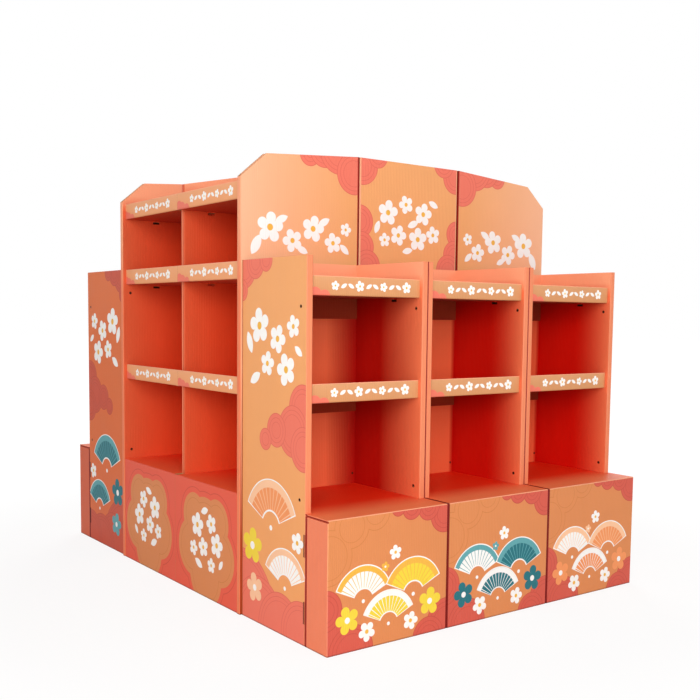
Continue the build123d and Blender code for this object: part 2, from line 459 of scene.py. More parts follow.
class Coat:
    """Colour of a sheet, laid on one field after another."""

    def __init__(self, graph: Graph, start: Any) -> None:
        """Starts from one colour all over."""
        self.graph = graph
        self.colour = start

    def lay(self, colour: Any, mask: Value) -> None:
        """Lays a colour where a mask is 1."""
        self.colour = self.graph.mix(mask, self.colour, colour)

    def shape(self, colour: Any, distance: Value, soft: float = 0.0007) -> None:
        """Lays a colour inside a signed distance's zero line."""
        self.lay(colour, distance.ramp(soft, -soft))

    def line(self, colour: Any, distance: Value, offset: float, width: float) -> None:
        """Lays a thin line along a shape, offset inwards from its edge."""
        self.shape(colour, abs(distance + offset) - width / 2)

    def bank(self, panel: Panel, lobes: Sequence[Lobe], fill: Colour = INKS.coral,
             line: Colour = INKS.coral_line) -> None:
        """Prints a cloud bank, lobe over lobe, each with its outline and inner rings.

        Args:
            panel: The face that it is printed on.
            lobes: Middle and radius of each lobe.
            fill: Colour of the lobes.
            line: Colour of their lines.
        """
        for x, y, radius in lobes:
            edge = panel.disc(x, y, radius)
            self.shape(fill, edge)
            for offset, width in CLOUD_RINGS:
                if radius > offset + SMALLEST_RING:
                    self.line(line, edge, offset, width)

    def flower(self, panel: Panel, x: float, y: float, radius: float, petal: Colour = INKS.white,
               heart: Colour = INKS.amber, turn: float = 0.3) -> None:
        """Prints a flower with its heart.

        Args:
            panel: The face that it is printed on.
            x: Middle across.
            y: Middle up.
            radius: From the middle to a petal's tip.
            petal: Colour of the petals.
            heart: Colour of the middle.
            turn: Direction of the first petal in radians.
        """
        self.shape(petal, panel.blossom(x, y, radius, turn))
        self.shape(heart, panel.disc(x, y, HEART_SHARE * radius))

    def spray(self, panel: Panel, flowers: Sequence[Spot], leaves: Sequence[Spot]) -> None:
        """Prints white flowers and leaves.

        Args:
            panel: The face that they are printed on.
            flowers: Middle across and up, radius and turn of each flower.
            leaves: Middle across and up, length and turn of each leaf.
        """
        for x, y, radius, turn in flowers:
            self.flower(panel, x, y, radius, turn=turn)
        for x, y, length, turn in leaves:
            self.shape(INKS.white, panel.leaf(x, y, length, turn))

    def folding_fan(self, panel: Panel, x: float, y: float, radius: float, main: Colour,
                    second: Colour) -> None:
        """Prints an open fan with its ribs and rim.

        Args:
            panel: The face that it is printed on.
            x: Pivot across.
            y: Pivot up.
            radius: Radius of the rim.
            main: Colour of the leaf.
            second: Colour of the rim and ribs.
        """
        border = panel.fan(x, y, FAN.border_start * radius, radius + FAN.border, FAN.border_opening)
        self.shape(INKS.white, border)
        leaf = panel.fan(x, y, FAN.leaf_start * radius, radius, FAN.leaf_opening)
        self.shape(main, leaf)
        ribs = self.graph.math("SINE", panel.angle(x, y) * FAN.ribs) - FAN.rib_level
        self.shape(second, leaf.larger(-ribs * FAN.rib_edge))
        self.shape(second, leaf.larger(FAN.rim_start * radius - panel.reach(x, y)))
        self.shape(INKS.white, panel.disc(x, y, FAN.pivot * radius))


@dataclass(frozen=True)
class BoardFinish:
    """Printed corrugated board: flutes that show through, mottled ink, cut edges, and a painted contact
    shadow along the feet.
    """

    flute_pitch: float = 0.0072
    flute_depth: float = 0.00022
    warp_depth: float = 0.0035
    print_roughness: float = 0.46
    raw_roughness: float = 0.86
    roughness_drift: float = 0.10
    specular: float = 0.25
    mottle: float = 0.055
    mottle_scale: float = 9.0
    fibre_scale: float = 420.0
    warp_scale: float = 2.3
    print_fibres: float = 0.03
    raw_fibres: float = 0.22
    print_relief: float = 0.00002
    raw_relief: float = 0.0002
    flute_shade: float = 0.010
    foot_shadow_height: float = 0.005
    foot_shade: float = 0.6
    edge_wave: tuple[float, float] = (-0.4, 0.7)

    def finish(self, local: Local, coat: Coat, raw: Value) -> bpy.types.Material:
        """Joins colour, roughness and relief into the material.

        Args:
            local: The surface point in its unit's frame.
            coat: The colours laid so far.
            raw: Mask of cut edges and unprinted faces.

        Returns:
            The finished material.
        """
        graph = local.graph
        cloudy = graph.noise(local.point, self.mottle_scale, 3.0)
        fibres = graph.noise(local.point, self.fibre_scale, 2.0)
        flutes = local.fluting(self.flute_pitch)
        # Painted shadow: the board darkens along its foot, where it meets the floor.
        foot_shadow = local.height.ramp(self.foot_shadow_height, 0.2 * self.foot_shadow_height)
        paper = (fibres - 0.5) * (raw * self.raw_fibres + self.print_fibres)
        shade = (1.0 + (cloudy - 0.5) * self.mottle + paper + flutes * self.flute_shade
                 - foot_shadow * self.foot_shade)
        grey = graph.node("ShaderNodeCombineColor", {}, {0: shade, 1: shade, 2: shade}).outputs[0]
        toned = graph.node("ShaderNodeMix", {"data_type": "RGBA", "blend_type": "MULTIPLY"},
                           {0: 1.0, 6: coat.colour, 7: grey}).outputs[2]
        rough = (self.print_roughness + raw * (self.raw_roughness - self.print_roughness)
                 + (cloudy - 0.5) * self.roughness_drift)
        warp = graph.noise(local.point, self.warp_scale, 1.0)
        relief = (flutes * self.flute_depth + warp * self.warp_depth
                  + fibres * (raw * self.raw_relief + self.print_relief))
        bump = graph.node("ShaderNodeBump", {}, {"Strength": 1.0, "Distance": 1.0, "Height": relief})
        shader = graph.node("ShaderNodeBsdfPrincipled", {},
                            {"Base Color": toned, "Roughness": rough, "Normal": bump.outputs[0],
                             "Specular IOR Level": self.specular})
        graph.node("ShaderNodeOutputMaterial", {}, {"Surface": shader.outputs[0]})
        return graph.owner

    def cut_edges(self, local: Local, coat: Coat, mask: Value) -> None:
        """Lays kraft and the flutes' wave on cut edges.

        Args:
            local: The surface point in its unit's frame.
            coat: The colours laid so far.
            mask: 1 on the edges.
        """
        wave = local.raw_edge(self.flute_pitch).ramp(*self.edge_wave)
        coat.lay(local.graph.mix(wave, INKS.kraft, INKS.kraft_deep), mask)


BOARD = BoardFinish()


def dress(name: str, material: bpy.types.Material) -> None:
    """Gives a CAD node its finish.

    Args:
        name: The node's name.
        material: The finish for all its faces.
    """
    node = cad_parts[name]
    if not node.data.materials:
        node.data.materials.append(material)
    for i in range(len(node.data.materials)):
        node.data.materials[i] = material
    log.info("dressed %s with %s", name, material.name)


@dataclass(frozen=True)
class ShadedLining:
    """Coral of a unit's inner walls, with painted shade into its corners, under its shelves
    and away from its mouth.

    The painted shade runs from near, at the unit's left end, to far, at its right end. The cabinet at
    the left end has a reach and corners of its own. The back wall's tone is painted lighter, as lit,
    and above the top shelf's rim the walls are painted pale, as lit.
    """

    front: Colour
    near: Colour
    far: Colour
    back: Colour
    reach: float
    span: float
    near_reach: float = 0.22
    near_corner: float = 0.13
    far_corner: float = 0.02
    corner_curve: float = 1.5
    shelf_shade: float = 0.6
    shelf_reach: float = 0.10
    shelf_depths: tuple[float, float] = (0.05, 0.30)
    below_rim: float = 0.03
    above_rim: float = 0.3

    def tone(self, local: Local, inner: float, shelves: Sequence[float], rim: float,
             top: float) -> bpy.types.NodeSocket:
        """Colour of the walls, with their painted shade and painted light.

        Args:
            local: The surface point in its unit's frame.
            inner: From the unit's middle to its side walls.
            shelves: Heights of the shelves' undersides.
            rim: Height of the top shelf's rim, where the walls begin to pale.
            top: Height of the walls' top edge.

        Returns:
            The walls' colour.
        """
        graph = local.graph
        # Painted shade: darker away from the mouth, into the back corners and under each shelf.
        shaded = local.side < -0.5 * self.span
        reach = shaded * (self.near_reach - self.reach) + self.reach
        light = (1.0 - local.depth / reach).smaller(1.0).larger(0.0)
        deep_shade = graph.mix(local.side.ramp(-self.span, self.span), self.near, self.far)
        side = graph.mix(1.0 - light * light.larger(shaded), self.front, deep_shade)
        corner = shaded * (self.near_corner - self.far_corner) + self.far_corner
        open_wall = ((inner - abs(local.across)) / corner).smaller(1.0).larger(0.0)
        back = graph.mix(1.0 - open_wall ** self.corner_curve, self.back, deep_shade)
        tone = graph.mix(abs(local.facing_side) > SIDEWAYS, back, side)
        for shelf in shelves:
            under = local.height.ramp(shelf - self.shelf_reach, shelf) * (local.height < shelf)
            shade = under * local.depth.ramp(*self.shelf_depths) * self.shelf_shade
            tone = graph.mix(shade, tone, INKS.wall_painted_shade)
        # Painted light: the walls pale above the top shelf's rim.
        painted_light = local.height.ramp(rim - self.below_rim, rim + self.above_rim * (top - rim))
        return graph.mix(painted_light, tone, INKS.wall_painted_light)


# Painted shade and light of the rows' and the end units' inner walls.
ROW_LINING = ShadedLining(front=INKS.wall, near=INKS.wall_painted_shade, far=INKS.wall_painted_shade_far, back=INKS.wall_back_lit,
                    reach=0.18, span=0.48)
END_LINING = ShadedLining(front=INKS.end_wall_shaded, near=INKS.end_wall_painted_shade, far=INKS.end_wall_painted_shade,
                    back=INKS.end_wall_painted_shade, reach=0.35, span=1.0, shelf_shade=0.48)


@dataclass(frozen=True)
class JoiningHoleShades:
    """Dark rims painted as the shade in and round the holes for the screws that join neighbouring units."""

    heights: tuple[float, float]
    setback: float = 0.033
    rim: float = 0.0055

    def mask(self, local: Local) -> Value:
        """Mask of the painted shade rims in a unit's side walls.

        Args:
            local: The surface point in its unit's frame.

        Returns:
            1 on the rims.
        """
        panel = Panel(local.graph, local.depth, local.height)
        rims = panel.cloud([(self.setback, height, self.rim) for height in self.heights])
        return rims.ramp(HOLE_EDGE, -HOLE_EDGE) * (abs(local.facing_side) > SIDEWAYS)


@dataclass(frozen=True)
class ShelfTray:
    """Shelf, front lip and back flange of one folded sheet, with the inks of its unit."""

    lip_ink: Colour
    lip_top_ink: Colour
    underside_shade_ink: Colour
    board: float = 0.004
    lip_recess: float = 0.015
    lip_height: float = 0.060
    lip_fold: float = 0.006
    lip_facing: float = -0.2
    lip_fade: tuple[float, float] = (0.02, 0.06)
    rim: float = 0.0022
    motif_height: float = 0.031
    leaf_length: float = 0.026

    def finish(self, local: Local, above: Value) -> bpy.types.Material:
        """Printed lip with its folded rim painted pale as a highlight, coral shelf, and an underside and
        back flange painted dark as shade.

        Args:
            local: The surface point in its unit's frame.
            above: Height above the tray's underside.

        Returns:
            The trays' material.
        """
        graph = local.graph
        panel = Panel(graph, local.across, above)
        # Painted shade: the unprinted underside and back flange start dark red-brown.
        coat = Coat(graph, self.underside_shade_ink)
        near_lip = local.depth < self.lip_recess + 2 * self.board
        top = (local.facing_up > SQUARE_ON) * (above > 0.5 * self.board)
        inner = (local.facing_back > SQUARE_ON) * near_lip
        coat.lay(INKS.shelf, top.larger(inner))
        lip = (local.facing_back < self.lip_facing) * (local.depth < self.lip_recess + self.lip_fold)
        coat.lay(self.lip_print(panel), lip)
        rim = (above > self.lip_height - self.rim) * near_lip
        # Painted highlight: the lip's folded rim is pale.
        coat.lay(INKS.fold_highlight, rim)
        ends = (abs(local.facing_side) > SQUARE_ON) * (1.0 - rim)
        BOARD.cut_edges(local, coat, ends)
        raw = 1.0 - top.larger(inner).larger(lip).larger(rim)
        return BOARD.finish(local, coat, raw)

    def lip_print(self, panel: Panel) -> bpy.types.NodeSocket:
        """Print of the lip: a cloud in the low corner and a row of small white flowers and leaves.

        Args:
            panel: The lip's face, from the tray's underside up.

        Returns:
            The print's colour.
        """
        ground = panel.graph.mix(panel.up.ramp(*self.lip_fade), self.lip_ink, self.lip_top_ink)
        coat = Coat(panel.graph, ground)
        cloud = panel.cloud([(-0.20, 0.0, 0.026), (-0.165, -0.004, 0.022), (-0.225, 0.008, 0.024)])
        coat.shape(INKS.coral, cloud)
        flowers = [(x, self.motif_height, radius, turn) for x, radius, turn in
                   ((-0.125, 0.0150, 0.2), (-0.030, 0.0175, 0.5), (0.065, 0.0150, 0.0),
                    (0.160, 0.0185, 0.4))]
        leaves = [(x, self.motif_height, self.leaf_length, turn) for x, turn in
                  ((-0.092, 0.5), (-0.064, -0.5), (0.006, 0.5), (0.033, -0.5), (0.098, 0.5),
                   (0.126, -0.5))]
        coat.spray(panel, flowers, leaves)
        return coat.colour


ROW_TRAY = ShelfTray(INKS.lip, INKS.lip_top, INKS.underside_shade)
END_TRAY = ShelfTray(INKS.end_lip, INKS.end_lip_top, INKS.end_underside_shade)


@dataclass(frozen=True)
class SideInks:
    """Inks of the print on a row's outer sides; the back row's are painted darker as shade."""

    ground: Colour
    ground_low: Colour
    coral: Colour
    coral_line: Colour
    plain: Colour
    fan: Colour
    second_fan: Colour
    fan_rim: Colour
    bloom: Colour


FRONT_SIDES = SideInks(ground=INKS.ground, ground_low=INKS.ground_low, coral=INKS.coral,
                       coral_line=INKS.coral_line, plain=INKS.plain_side, fan=INKS.apricot,
                       second_fan=INKS.white, fan_rim=INKS.apricot_pale, bloom=INKS.yellow)
# The back row's own fans and flowers, on ground, coral and plain inks painted darker and redder as shade.
SHADED_BACK_SIDES = SideInks(ground=ink("E07038"), ground_low=ink("DE6C38"), coral=ink("CC533A"),
                      coral_line=ink("B84632"), plain=ink("D5613F"), fan=INKS.teal,
                      second_fan=INKS.teal, fan_rim=INKS.teal_pale, bloom=INKS.teal)


@dataclass
class RowOfCabinets:
    """Three open cabinets side by side, each with a base box that stands out in front."""

    name: str
    place: Place
    side_inks: SideInks
    sides: tuple[str, str, str] = ("left", "middle", "right")
    palettes: tuple[Palette, Palette, Palette] = (Palette.YELLOW, Palette.TEAL, Palette.APRICOT)
    pitch: float = 0.480
    width: float = 0.4792
    depth: float = 0.385
    wall: float = 0.022
    height: float = 1.2
    kraft_top: float = 0.12
    outer_end: float = 0.70
    ground_fade: tuple[float, float] = (0.2, 1.1)
    joint_shade: float = 0.0022
    joint_shade_depth: float = 0.02
    seam: float = 0.005
    base_height: float = 0.415
    base_projection: float = 0.120
    base_front_margin: float = 0.01
    base_top_shade: tuple[float, float] = (-0.06, 0.08)
    base_joint_shade: float = 0.0050
    base_top_joint_shade: float = 0.0010
    base_seat_shade: float = 0.010
    slit_drop: float = 0.0055
    slit_shade: float = 0.0030
    corner_bent: float = 0.2
    corner_crease: float = 0.35
    tray: ShelfTray = ROW_TRAY
    shelves: tuple[float, float] = (0.750, 1.081)
    between_shelves: float = 1.0
    tab_middles: tuple[float, float] = (0.104, 0.314)
    tab_length: float = 0.070
    tab_inset: float = 0.012
    slot_mouth_shade: float = 0.010
    hole_shades: JoiningHoleShades = JoiningHoleShades((0.453, 1.047))
    back_hole_inset: float = 0.010
    back_hole_rise: float = 0.036
    back_hole_shade: float = 0.0042

    def dress(self) -> None:
        """Dresses every node of the row."""
        shell = self.shell_finish()
        tray = self.tray_finish()
        for i, side in enumerate(self.sides):
            dress(f"{self.name}_{side}_shell", shell)
            dress(f"{self.name}_{side}_lower_tray", tray)
            dress(f"{self.name}_{side}_upper_tray", tray)
            dress(f"{self.name}_{side}_base_box", self.base_finish(i))

    def shell_finish(self) -> bpy.types.Material:
        """Printed outer sides, pale front folds, coral inside with painted shade and light, hollows painted
        dark as shade that are kraft near the top, and painted shade at joints, seams, slot mouths and holes.

        Returns:
            The shells' material.
        """
        graph = Graph.material(f"{self.name}_row_walls")
        local = Local(graph, self.place, self.pitch)
        off_middle = abs(local.across)
        face = self.width / 2 - self.wall
        inside = (off_middle < face + INNER_MARGIN) * (local.depth < self.depth - self.wall + INNER_MARGIN)
        # Painted shade: the hollows are dark, but kraft near the top.
        coat = Coat(graph, graph.mix(local.height > self.height - self.kraft_top, INKS.shaded_hollow, INKS.kraft))
        rim = self.shelves[1] + self.tray.lip_height
        coat.lay(ROW_LINING.tone(local, face, self.shelves, rim, self.height), inside)
        # Painted shade: a dark dot on the back wall for a joining hole.
        hole = Panel(graph, off_middle, local.height).disc(
            face - self.back_hole_inset, self.base_height + self.back_hole_rise, self.back_hole_shade)
        coat.lay(INKS.shaded_hollow, hole.ramp(HOLE_EDGE, -HOLE_EDGE) * inside * (local.facing_back < -SIDEWAYS))
        outer = (off_middle > self.width / 2 - OUTER_MARGIN) * (abs(local.facing_side) > SIDEWAYS)
        coat.lay(self.side_print(local), outer)
        front = (local.depth < FOLD_DEPTH) * (local.facing_back < FORWARD_FOLD)
        coat.lay(INKS.front_fold, front)
        between = (off_middle > self.width / 2 - self.joint_shade) * (abs(local.side) < self.outer_end)
        # Painted shade in the joints between neighbouring cabinets.
        coat.lay(INKS.joint_shade, between * (local.depth < self.joint_shade_depth))
        # Painted shade along the rear edge of the outer sides, beside the end units.
        coat.lay(INKS.seam, outer * (local.depth > self.depth - self.seam))
        # Painted shade: dark slot mouths at the front of the outer sides, beside the tabs.
        for middle in self.tab_middles:
            beside_tab = abs(local.height - middle) < self.tab_length / 2
            coat.lay(INKS.slot, outer * (local.depth < self.slot_mouth_shade) * beside_tab)
        # Painted shade round the joining holes in the side walls.
        coat.lay(INKS.shaded_hollow, self.hole_shades.mask(local))
        edges = abs(local.facing_up) > SQUARE_ON
        BOARD.cut_edges(local, coat, edges)
        raw = edges.larger(1.0 - inside.larger(outer).larger(front))
        return BOARD.finish(local, coat, raw)

    def side_print(self, local: Local) -> bpy.types.NodeSocket:
        """Print of the outer side panels: cloud banks, sprays of flowers and fans low down.

        Args:
            local: The surface point in the row's frame.

        Returns:
            The print's colour.
        """
        graph = local.graph
        inks = self.side_inks
        panel = Panel(graph, local.depth, local.height)
        coat = Coat(graph, graph.mix(local.height.ramp(*self.ground_fade), inks.ground_low, inks.ground))
        for lobes in ([(0.37, 1.18, 0.075), (0.30, 1.19, 0.055), (0.235, 1.195, 0.038),
                       (0.385, 1.10, 0.036)],
                      [(0.02, 0.735, 0.075), (0.075, 0.66, 0.082), (0.015, 0.61, 0.070),
                       (0.17, 0.655, 0.055), (0.235, 0.62, 0.036)],
                      [(0.38, 0.02, 0.215), (0.27, 0.0, 0.16), (0.14, 0.0, 0.135), (0.02, 0.02, 0.115)]):
            coat.bank(panel, lobes, inks.coral, inks.coral_line)
        flowers = ((0.275, 0.985, 0.058, 0.2), (0.165, 0.945, 0.046, 0.7), (0.075, 0.985, 0.036, 0.1),
                   (0.225, 0.865, 0.040, 0.5), (0.115, 0.850, 0.052, 0.0))
        leaves = ((0.335, 0.93, 0.075, 1.2), (0.30, 0.815, 0.070, -0.5), (0.045, 0.91, 0.05, 0.6))
        coat.spray(panel, flowers, leaves)
        coat.folding_fan(panel, 0.20, 0.335, 0.155, inks.fan, inks.fan_rim)
        coat.folding_fan(panel, 0.115, 0.155, 0.125, inks.second_fan, inks.fan_rim)
        coat.flower(panel, 0.315, 0.255, 0.060, inks.bloom, INKS.white, 0.4)
        coat.flower(panel, 0.300, 0.115, 0.050, inks.fan_rim, INKS.white, 0.1)
        coat.flower(panel, 0.045, 0.315, 0.034, INKS.white, INKS.amber, 0.6)
        return coat.colour

    def tray_finish(self) -> bpy.types.Material:
        """Finish of the unit's shelf trays.

        Returns:
            The trays' material.
        """
        graph = Graph.material(f"{self.name}_row_shelves")
        local = Local(graph, self.place, self.pitch)
        low, high = self.shelves
        above = local.height - low - (local.height > self.between_shelves) * (high - low)
        return self.tray.finish(local, above)

    def base_finish(self, index: int) -> bpy.types.Material:
        """Printed front, plain sides, a coral top with painted shade behind the front, pale creases painted
        as highlights round the top, and painted shade at the slits, joints and tabs of one base box.

        Args:
            index: Which cabinet of the row.

        Returns:
            The base box's material.
        """
        graph = Graph.material(f"{self.name}_{self.sides[index]}_base")
        local = Local(graph, self.place, self.pitch)
        coat = Coat(graph, INKS.kraft)
        showing = local.depth < 0.0
        off_middle = abs(local.across)
        sides = (abs(local.facing_side) > SIDEWAYS) * showing
        coat.lay(self.side_inks.plain, sides)
        front = ((local.facing_back < FORWARD_FRONT)
                 * (local.depth < self.base_front_margin - self.base_projection))
        coat.lay(self.front_print(local, self.palettes[index]), front)
        top = local.facing_up > FLAT_TOP
        # Painted shade: the top darkens behind the front, under the cabinet.
        coat.lay(graph.mix(local.depth.ramp(*self.base_top_shade), INKS.shelf_front, INKS.shelf_painted_shade), top)
        bent = local.facing_up * (1.0 - local.facing_up)
        corner = abs(local.facing_side) * abs(local.facing_back) > self.corner_bent
        crease = (bent > BENT).larger(corner * self.corner_crease)
        # Painted highlight along the creases round the top.
        coat.lay(INKS.fold_highlight, crease * showing)
        joint_shade = off_middle > self.width / 2 - self.base_joint_shade - top * self.base_top_joint_shade
        slit_shade = sides * (abs(local.height - self.base_height + self.slit_drop) < self.slit_shade)
        seat_shade = sides * (local.depth > -self.base_seat_shade)
        # Painted shade in the slit under the lid, and along the sides where they meet the cabinet.
        coat.lay(INKS.joint_shade, slit_shade.larger(seat_shade))
        # Painted shade in the joints between neighbouring base boxes.
        coat.lay(INKS.base_joint_shade, joint_shade * (abs(local.side) < self.outer_end) * showing)
        tabs = (local.depth > -INNER_MARGIN) * (off_middle > self.width / 2 - self.tab_inset)
        # Painted shade on the tabs hidden in the walls.
        coat.lay(INKS.shaded_hollow, tabs)
        raw = 1.0 - sides.larger(front).larger(top)
        return BOARD.finish(local, coat, raw * (1.0 - crease))

    def front_print(self, local: Local, palette: Palette) -> bpy.types.NodeSocket:
        """Print of a base front: cloud banks in its corners, fans and flowers low down.

        Args:
            local: The surface point in the row's frame.
            palette: Colours of the fans and flowers.

        Returns:
            The print's colour.
        """
        main, second = palette.value
        white = INKS.white
        panel = Panel(local.graph, local.across, local.height)
        coat = Coat(local.graph, INKS.base_ground)
        stroke = panel.cloud([(-0.235, 0.30, 0.085), (-0.15, 0.385, 0.065), (-0.06, 0.42, 0.055)])
        coat.line(INKS.ground_line, stroke, 0.0, 0.0022)
        coat.line(INKS.ground_line, stroke, 0.018, 0.0018)
        for lobes in ([(0.225, 0.385, 0.062), (0.155, 0.415, 0.045), (0.085, 0.42, 0.040),
                       (0.03, 0.425, 0.028)],
                      [(-0.235, 0.05, 0.105), (-0.15, 0.0, 0.085), (-0.25, 0.14, 0.065)],
                      [(0.235, 0.02, 0.085), (0.16, -0.01, 0.065)]):
            coat.bank(panel, lobes, INKS.front_coral, INKS.front_coral_line)
        coat.folding_fan(panel, -0.105, 0.150, 0.110, white, second)
        coat.folding_fan(panel, 0.095, 0.140, 0.118, main, second)
        coat.folding_fan(panel, -0.005, 0.062, 0.105, main, white)
        for x, y, radius, petal, turn in (
                (0.165, 0.105, 0.046, main, 0.2), (-0.165, 0.100, 0.044, main, 0.6),
                (0.085, 0.055, 0.030, white, 0.0), (-0.09, 0.052, 0.032, white, 0.9),
                (0.02, 0.285, 0.024, white, 0.4), (-0.02, 0.245, 0.016, second, 0.1)):
            coat.flower(panel, x, y, radius, petal, INKS.amber if petal is white else white, turn)
        return coat.colour


@dataclass
class EndUnit:
    """Tall unit of two columns that closes one end of the stand."""

    name: str
    place: Place
    width: float = 0.985
    depth: float = 0.486
    wall: float = 0.022
    height: float = 1.586
    divider_setback: float = 0.037
    divider_fold: float = 0.005
    divider_light: tuple[float, float] = (-0.006, 0.002)
    row_height: float = 1.2
    header_fade: tuple[float, float] = (0.0, 0.45)
    fold_fade: tuple[float, float] = (1.1, 1.35)
    gap_shade_depth: float = 0.012
    gap_shade_fade: tuple[float, float] = (0.85, 0.25)
    back_joint_shade: float = 0.005
    back_skin: float = 0.0006
    back_rim: float = 0.04
    hollow_skin: float = 0.0005
    above_shelf: float = 0.03
    base_front: float = 0.02
    base_top_shade: tuple[float, float] = (0.02, 0.25)
    tray: ShelfTray = END_TRAY
    shelves: tuple[float, float, float] = (0.750, 1.139, 1.405)
    between_shelves: tuple[float, float] = (1.0, 1.3)
    hole_shades: JoiningHoleShades = JoiningHoleShades((0.453, 1.105))
    columns: tuple[str, str] = ("front", "back")
    tiers: tuple[str, str, str] = ("lower", "middle", "upper")

    def dress(self) -> None:
        """Dresses every node of the unit."""
        dress(f"{self.name}_shell", self.shell_finish())
        dress(f"{self.name}_divider", self.divider_finish())
        tray = self.tray_finish()
        base = self.base_finish()
        for column in self.columns:
            dress(f"{self.name}_{column}_base_box", base)
            for tier in self.tiers:
                dress(f"{self.name}_{column}_{tier}_tray", tray)

    @property
    def column_pitch(self) -> float:
        """Distance between the middles of the two columns."""
        return (self.width - self.wall) / 2

    def lining(self, local: Local) -> bpy.types.NodeSocket:
        """Colour of the inner walls and of the divider, with their painted shade and painted light."""
        rim = self.shelves[2] + self.tray.lip_height
        return END_LINING.tone(local, self.width / 2 - self.wall, self.shelves, rim, self.height)

    def shell_finish(self) -> bpy.types.Material:
        """Printed outer sides, coral front folds that pale towards the top, coral inside with painted shade
        and light, hollows painted dark as shade below the top shelf, painted shade at holes, gaps and
        joints, and kraft behind.

        Returns:
            The shell's material.
        """
        graph = Graph.material(f"{self.name}_walls")
        local = Local(graph, self.place)
        off_middle = abs(local.side)
        face = self.width / 2 - self.wall
        inside = (off_middle < face + INNER_MARGIN) * (local.depth < self.depth - self.wall + INNER_MARGIN)
        coat = Coat(graph, INKS.kraft)
        shaded_hollow = (off_middle > face) * (local.depth < self.depth - self.hollow_skin)
        over_shelf = local.height > self.shelves[2] + self.above_shelf
        # Painted shade in the hollows below the top shelf; pale above it.
        coat.lay(graph.mix(over_shelf, INKS.shaded_hollow, INKS.ground_pale), shaded_hollow)
        coat.lay(self.lining(local), inside)
        outer = (off_middle > self.width / 2 - OUTER_MARGIN) * (abs(local.facing_side) > SIDEWAYS)
        coat.lay(self.header_print(local), outer)
        front = (local.depth < FOLD_DEPTH) * (local.facing_back < FORWARD_FOLD)
        coat.lay(graph.mix(local.height.ramp(*self.fold_fade), INKS.coral_fold, INKS.header_fold), front)
        # Painted shade round the joining holes in the inner walls.
        coat.lay(INKS.shaded_hollow, inside * self.hole_shades.mask(local))
        behind = (local.depth > self.depth - self.back_skin) * (off_middle > self.width / 2 - self.back_rim)
        # Painted shade on the back face where it meets the centre panel.
        coat.lay(INKS.joint_shade, behind * (local.facing_back > SIDEWAYS))
        # Painted shade on the outer sides' front strip beside the rows, darker towards the bottom.
        coat.lay(INKS.gap, outer * (local.depth < self.gap_shade_depth) * local.height.ramp(*self.gap_shade_fade))
        above_row = local.height > self.row_height
        # Painted shade in the joint beside the centre panel, above the rows.
        coat.lay(INKS.joint_shade, outer * (local.depth > self.depth - self.back_joint_shade) * above_row)
        edges = abs(local.facing_up) > SLOPING_EDGE
        BOARD.cut_edges(local, coat, edges)
        raw = edges.larger(1.0 - inside.larger(outer).larger(front))
        return BOARD.finish(local, coat, raw)

    def header_print(self, local: Local) -> bpy.types.NodeSocket:
        """Print of the outer sides above the rows: a cloud bank at the top and a spray of white flowers.

        Args:
            local: The surface point in the unit's frame.

        Returns:
            The print's colour.
        """
        graph = local.graph
        panel = Panel(graph, local.depth, local.height)
        coat = Coat(graph, graph.mix(local.depth.ramp(*self.header_fade), INKS.ground_pale, INKS.ground))
        coat.bank(panel, [(0.275, 1.575, 0.042), (0.335, 1.595, 0.062), (0.40, 1.60, 0.085),
                          (0.465, 1.525, 0.075)])
        flowers = ((0.115, 1.315, 0.052, 0.2), (0.205, 1.275, 0.040, 0.7), (0.290, 1.320, 0.046, 0.1),
                   (0.375, 1.275, 0.036, 0.5), (0.430, 1.325, 0.024, 0.0))
        leaves = ((0.060, 1.255, 0.075, 1.1), (0.160, 1.345, 0.055, 0.4), (0.245, 1.245, 0.050, -0.4),
                  (0.335, 1.345, 0.055, 0.5), (0.425, 1.255, 0.050, -0.7))
        coat.spray(panel, flowers, leaves)
        return coat.colour

    def divider_finish(self) -> bpy.types.Material:
        """Coral sleeve in the walls' painted shade, with a front fold that has a painted highlight along one
        edge.

        Returns:
            The divider's material.
        """
        graph = Graph.material(f"{self.name}_divider")
        local = Local(graph, self.place)
        coat = Coat(graph, self.lining(local))
        front = (local.depth < self.divider_setback + self.divider_fold) * (local.facing_back < FORWARD_FOLD)
        light = local.side.ramp(*self.divider_light)
        # Painted highlight: the front fold is pale along one edge.
        coat.lay(graph.mix(light, INKS.divider_highlight, INKS.divider_fold), front)
        edges = abs(local.facing_up) > SLOPING_EDGE
        BOARD.cut_edges(local, coat, edges)
        return BOARD.finish(local, coat, edges)

    def tray_finish(self) -> bpy.types.Material:
        """Finish of the unit's shelf trays.

        Returns:
            The trays' material.
        """
        graph = Graph.material(f"{self.name}_shelves")
        local = Local(graph, self.place)
        local.across = local.side - (local.side > 0.0) * self.column_pitch + self.column_pitch / 2
        low, middle, high = self.shelves
        second, third = (local.height > level for level in self.between_shelves)
        above = local.height - low - second * (middle - low) - third * (high - middle)
        return self.tray.finish(local, above)

    def base_finish(self) -> bpy.types.Material:
        """Printed fronts and coral tops, with painted shade behind the fronts, of the two base boxes.

        Returns:
            The base boxes' material.
        """
        graph = Graph.material(f"{self.name}_base")
        local = Local(graph, self.place)
        coat = Coat(graph, INKS.kraft)
        front = (local.facing_back < FORWARD_FRONT) * (local.depth < self.base_front)
        coat.lay(self.front_print(local), front)
        top = local.facing_up > FLAT_TOP
        # Painted shade: the tops darken behind the fronts, under the unit.
        coat.lay(graph.mix(local.depth.ramp(*self.base_top_shade), INKS.end_floor, INKS.shelf_painted_shade), top)
        crease = local.facing_up * (1.0 - local.facing_up) > BENT
        coat.lay(INKS.base_coral, crease)
        raw = 1.0 - top.larger(front).larger(crease)
        return BOARD.finish(local, coat, raw)

